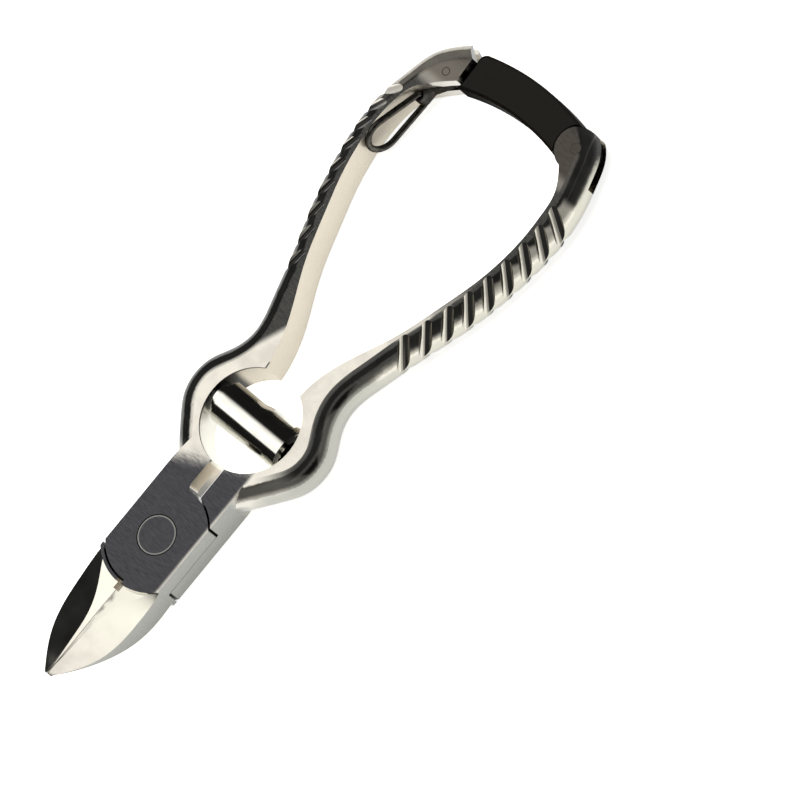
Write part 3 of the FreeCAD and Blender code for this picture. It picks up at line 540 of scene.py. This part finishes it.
def bar_steel():
    """Satin bar painted near black as a dark reflection, a little lighter along its bevels as a
    painted sheen.
    """
    g = Metal("bar_steel")
    place, normal = g.place()
    lift = g.math("ABSOLUTE", g.parts(normal)[2])
    streaks = g.noise(place, BAR_BRUSH)
    speckle = g.noise(place, SPECKLE)
    bevel = g.both(g.ramp(lift, BAR_BEVEL_FROM_UP), g.ramp(lift, BAR_BEVEL_TO_UP))
    dark = g.mix(g.ramp(speckle, GROUND_SPREAD), BAR_DARK_REFLECTION, BAR_SPECKLE)
    colour = g.mix(bevel, dark, BAR_BEVEL_SHEEN)
    rough = g.mix(bevel, g.mix(streaks, *BAR_ROUGH), g.mix(speckle, *BAR_BEVEL_ROUGH))
    relief = g.math("ADD", streaks, g.math("MULTIPLY", speckle, SPECKLE_RELIEF))
    g.bump(relief, BRUSHED_RELIEF)
    return g.finish(colour, rough, DARK_GRAZING)


def bright_steel(name, colour, dull):
    """Bright drawn or rolled steel with faint smears along X."""
    g = Metal(name)
    place = g.place()[0]
    smears = g.noise(place, ROLLING_SMEARS)
    lines = g.noise(place, ROLLING_LINES)
    tone = g.mix(g.ramp(smears, ROLLED_SPREAD), colour, dull)
    g.bump(lines, ROLLED_RELIEF)
    return g.finish(tone, g.mix(smears, *BRIGHT_ROUGH))


def stamped_steel(name, colour, dull):
    """Plain grey steel of the small stamped and drawn pieces."""
    g = Metal(name)
    place = g.place()[0]
    blotches = g.noise(place, BLOTCHES)
    g.bump(g.noise(place, STAMPED_GRAIN), STAMPED_RELIEF)
    tone = g.mix(g.ramp(blotches, PLAIN_SPREAD), colour, dull)
    return g.finish(tone, g.mix(blotches, *STAMPED_ROUGH), DARK_GRAZING)


def paint(material, *nodes):
    """Give CAD nodes their material."""
    for node in nodes:
        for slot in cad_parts[node].material_slots:
            slot.material = material


def paint_all():
    paint(lever_steel(), "front_lever", "rear_lever")
    # The rivet's head takes the joint face's painted dark reflection, with a painted highlight ring
    # along its rim.
    paint(ground_steel("rivet_steel", "pivot_rivet", (GROUND_DARK_REFLECTION, GROUND_DARK_REFLECTION_PALER), RIVET_RING_HIGHLIGHT,
                       RIVET_RING_SPAN), "pivot_rivet")
    # The hinge pin takes the ears' painted dark reflection, the catch pin the left ear's pale tone;
    # both have dark seam rings.
    paint(ground_steel("hinge_pin_steel", "latch_hinge_pin", (EAR, EAR_LIGHT), HINGE_RING,
                       HINGE_RING_SPAN), "latch_hinge_pin")
    paint(ground_steel("catch_pin_steel", "catch_pin", (EAR_PALE, EAR_PALE), CATCH_RING,
                       CATCH_RING_SPAN), "catch_pin")
    paint(bar_steel(), "latch_bar")
    paint(bright_steel("stud_steel", STUD, STUD_DULL), "front_spring_stud", "rear_spring_stud")
    paint(stamped_steel("catch_steel", CATCH, CATCH_DULL), "catch_pawl")
    # The wire loop and pawl spring are painted near black as a dark reflection.
    paint(stamped_steel("wire_steel", WIRE, WIRE_DULL), "release_loop", "pawl_spring")


# ---------------------------------------------------------------- barrel spring

SPRING_RADIUS = 4.55 * MM
STRIP_THICK = 0.4 * MM
COIL_PITCH = 0.5 * MM
SPRING_TURNS = 3.3
FIRST_TURN_IN = 1.9 * MM       # how far in from the small end the outermost turn starts
TURN_STEP = 0.65 * MM          # how much further out each inner turn starts
LAST_STEP = 2.9                # turns after which the strip's left edge runs straight
FREE_EDGE = math.radians(63.0)
FREE_CORNER = math.radians(25.0)
CORNER_FROM = -0.4 * MM
CORNER_LONG = 3.4 * MM
CORNER_TURN = 0.5              # share of a turn over which the corner's slant dies out
CORNER_LIFT = 0.45 * MM
LIFT_TURN = 0.12               # share of a turn over which the corner's lift dies out
STEPS_ROUND = 72
STEPS_ALONG = 40
CRISP_ANGLE = math.radians(35.0)


def smooth(value):
    value = min(max(value, 0.0), 1.0)
    return value * value * (3.0 - 2.0 * value)


def strip_point(share, across, depth):
    """Point of the rolled strip: share goes inward along it, across from left to right."""
    turn = share * SPRING_TURNS
    low, high = SPRING_BOX
    left = low.x + FIRST_TURN_IN - TURN_STEP * min(turn, LAST_STEP)
    x = left + (high.x - left) * across
    corner = smooth((x - CORNER_FROM) / CORNER_LONG)
    slant = FREE_CORNER * corner * smooth(1.0 - turn / CORNER_TURN)
    angle = FREE_EDGE + slant - turn * 2.0 * math.pi
    lift = CORNER_LIFT * corner * smooth(1.0 - turn / LIFT_TURN)
    radius = SPRING_RADIUS - COIL_PITCH * turn - depth + lift
    centre_y = (low.y + high.y) / 2
    centre_z = low.z + SPRING_RADIUS
    return Vector((x, centre_y + radius * math.sin(angle), centre_z + radius * math.cos(angle)))


def strip_row(share, depth):
    return [strip_point(share, index / STEPS_ALONG, depth) for index in range(STEPS_ALONG + 1)]


def strip_mesh():
    """Strip rolled into a barrel, its inner turns standing out to the left."""
    rounds = int(STEPS_ROUND * SPRING_TURNS)
    vertices = []
    for step in range(rounds + 1):
        share = step / rounds
        vertices += strip_row(share, 0.0) + strip_row(share, STRIP_THICK)[::-1]
    ring = 2 * (STEPS_ALONG + 1)
    faces = []
    for step in range(rounds):
        first = step * ring
        second = first + ring
        for index in range(ring):
            following = (index + 1) % ring
            faces.append((first + index, first + following, second + following, second + index))
    faces.append(tuple(range(ring))[::-1])
    faces.append(tuple(range(rounds * ring, (rounds + 1) * ring)))
    mesh = bpy.data.meshes.new("rolled_spring")
    mesh.from_pydata(vertices, [], faces)
    mesh.validate()
    mesh.update()
    for face in mesh.polygons:
        face.use_smooth = True
    return mesh


def make_spring():
    """Rolled spring that stretches between the two levers."""
    mesh = strip_mesh()
    spring = bpy.data.objects.new("rolled_spring", mesh)
    bpy.context.scene.collection.objects.link(spring)
    split = spring.modifiers.new("crisp_edges", "EDGE_SPLIT")
    split.split_angle = CRISP_ANGLE
    mesh.materials.append(bright_steel("spring_steel", SPRING, SPRING_DULL))
    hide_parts("barrel_spring")
    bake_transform(spring)


# ---------------------------------------------------------------- stage

VIEW_TILT = math.radians(28.0)
AXIS_TURN = math.atan2(0.6347, 0.7727)
FRAME_WIDTH = 144.4 * MM
CENTRE_ACROSS = 18.5 * MM
CENTRE_ALONG = 46.7 * MM
CENTRE_UP = 8.0 * MM
LENS = 900.0
SENSOR = 36.0
FAR_CLIP = 20.0

FLOOR_HALF = 3.0
FLOOR_GAP = 0.0002             # keeps the floor clear of the flat back faces
FLOOR_GLOW = 0.8
FLOOR_GLOW_COLOUR = (1.0, 1.0, 0.985, 1.0)
FLOOR_TONES = ((0.93, 0.93, 0.93), (0.96, 0.96, 0.95))

LAMP_PLACE = (-0.25, 0.05, 0.9)
LAMP_TARGET = (0.0, 0.04, 0.0)
LAMP_WIDTH = 0.9
LAMP_POWER = 7.0

# The room's lights by direction: limits along -X, and along Y as a slope from the vertical.
# A bright soft box stands high on the left, dim walls beyond the tool's two ends on the right,
# and a glow lies low on the right.
BOX_LOW_X = (0.0, 0.16)
BOX_HIGH_X = (0.72, 0.665)
BOX_LOW_Y = (-1.2, -0.9)
BOX_HIGH_Y = (0.45, 0.02)
BOX_LIGHT = 1.6
WALL_X = (0.3, 0.1)
WALL_Y = (0.3, 0.6)
WALL_LIGHT = 0.14
GLOW_X = (0.3, -0.5)
GLOW_HEIGHT = (0.5, -0.05)
GLOW_LIGHT = 0.9
ABOVE_FLOOR = (0.0, 0.1)
LEAST_HEIGHT = 0.01            # keeps the slope finite at the horizon
ROOM_LIGHT = 0.012
ROOM_COLOUR = (1.0, 0.985, 0.95, 1.0)


def make_camera():
    """Long lens, tilted towards the right handle, with the tool running up to the right."""
    toward = Vector((math.sin(VIEW_TILT), 0.0, math.cos(VIEW_TILT)))
    across = Vector((math.cos(VIEW_TILT), 0.0, -math.sin(VIEW_TILT)))
    along = Vector((0.0, 1.0, 0.0))
    right = across * math.cos(AXIS_TURN) + along * math.sin(AXIS_TURN)
    up = along * math.cos(AXIS_TURN) - across * math.sin(AXIS_TURN)
    target = Vector((0.0, 0.0, CENTRE_UP)) + across * CENTRE_ACROSS + along * CENTRE_ALONG
    place = target + toward * (FRAME_WIDTH * LENS / SENSOR)
    turn = Matrix((right, up, toward)).transposed().to_4x4()
    camera = bpy.data.cameras.new("camera")
    camera.lens = LENS
    camera.sensor_width = SENSOR
    camera.clip_end = FAR_CLIP
    seat = bpy.data.objects.new("camera", camera)
    seat.matrix_world = Matrix.Translation(place) @ turn
    bpy.context.scene.collection.objects.link(seat)
    bpy.context.scene.camera = seat


def make_floor():
    """Pale table. Its own glow makes most of its brightness, as the lamp is weak."""
    half = FLOOR_HALF
    mesh = bpy.data.meshes.new("floor")
    corners = [(-half, -half, 0), (half, -half, 0), (half, half, 0), (-half, half, 0)]
    mesh.from_pydata(corners, [], [(0, 1, 2, 3)])
    floor = bpy.data.objects.new("floor", mesh)
    floor.location.z = cad_box[0][2] - FLOOR_GAP
    bpy.context.scene.collection.objects.link(floor)
    g = Metal("pale_table")
    g.shader.inputs["Metallic"].default_value = 0.0
    g.shader.inputs["Emission Color"].default_value = FLOOR_GLOW_COLOUR
    g.shader.inputs["Emission Strength"].default_value = FLOOR_GLOW
    mottle = g.noise(g.place()[0], MOTTLE)
    mesh.materials.append(g.finish(g.mix(mottle, *FLOOR_TONES), TABLE_ROUGH))


def make_lamp():
    """Wide lamp overhead, not seen in reflections."""
    light = bpy.data.lights.new("overhead", "AREA")
    light.size = LAMP_WIDTH
    light.energy = LAMP_POWER
    lamp = bpy.data.objects.new("overhead", light)
    lamp.location = LAMP_PLACE
    aim = Vector(LAMP_TARGET) - Vector(LAMP_PLACE)
    lamp.rotation_euler = aim.to_track_quat("-Z", "Y").to_euler()
    lamp.visible_glossy = False
    bpy.context.scene.collection.objects.link(lamp)


def make_world():
    """Dark room with a soft box high on the left; the camera itself sees a pale backdrop."""
    world = bpy.data.worlds.new("studio")
    bpy.context.scene.world = world
    world.use_nodes = True
    world.node_tree.nodes.clear()
    g = Graph(world.node_tree)
    direction = g.node("ShaderNodeTexCoord").outputs["Generated"]
    height = g.vector("DOT_PRODUCT", direction, (0.0, 0.0, 1.0))["Value"]
    toward = g.vector("DOT_PRODUCT", direction, (-1.0, 0.0, 0.0))["Value"]
    along = g.vector("DOT_PRODUCT", direction, (0.0, 1.0, 0.0))["Value"]
    slope = g.math("DIVIDE", along, g.math("MAXIMUM", height, LEAST_HEIGHT))
    above = g.ramp(height, ABOVE_FLOOR)
    box = g.both(g.ramp(toward, BOX_LOW_X), g.ramp(toward, BOX_HIGH_X),
                 g.both(g.ramp(slope, BOX_LOW_Y), g.ramp(slope, BOX_HIGH_Y)), above)
    glow = g.both(g.ramp(height, GLOW_HEIGHT), g.ramp(toward, GLOW_X))
    wall = g.both(g.ramp(toward, WALL_X), above, g.ramp(g.math("ABSOLUTE", slope), WALL_Y))
    level = g.math("ADD", g.math("MULTIPLY", box, BOX_LIGHT), g.math("MULTIPLY", glow, GLOW_LIGHT))
    level = g.math("ADD", level, g.math("ADD", g.math("MULTIPLY", wall, WALL_LIGHT), ROOM_LIGHT))
    seen = g.node("ShaderNodeLightPath").outputs["Is Camera Ray"]
    hidden = g.math("MULTIPLY", g.math("SUBTRACT", 1.0, seen), level)
    background = g.node("ShaderNodeBackground")
    background.inputs["Color"].default_value = ROOM_COLOUR
    g.put(g.math("ADD", seen, hidden), background.inputs["Strength"])
    output = g.node("ShaderNodeOutputWorld")
    g.put(background.outputs[0], output.inputs["Surface"])


def make_stage():
    bpy.context.scene.view_settings.view_transform = "Standard"
    make_camera()
    make_floor()
    make_world()
    make_lamp()


# ---------------------------------------------------------------- build

make_stage()
paint_all()
make_spring()
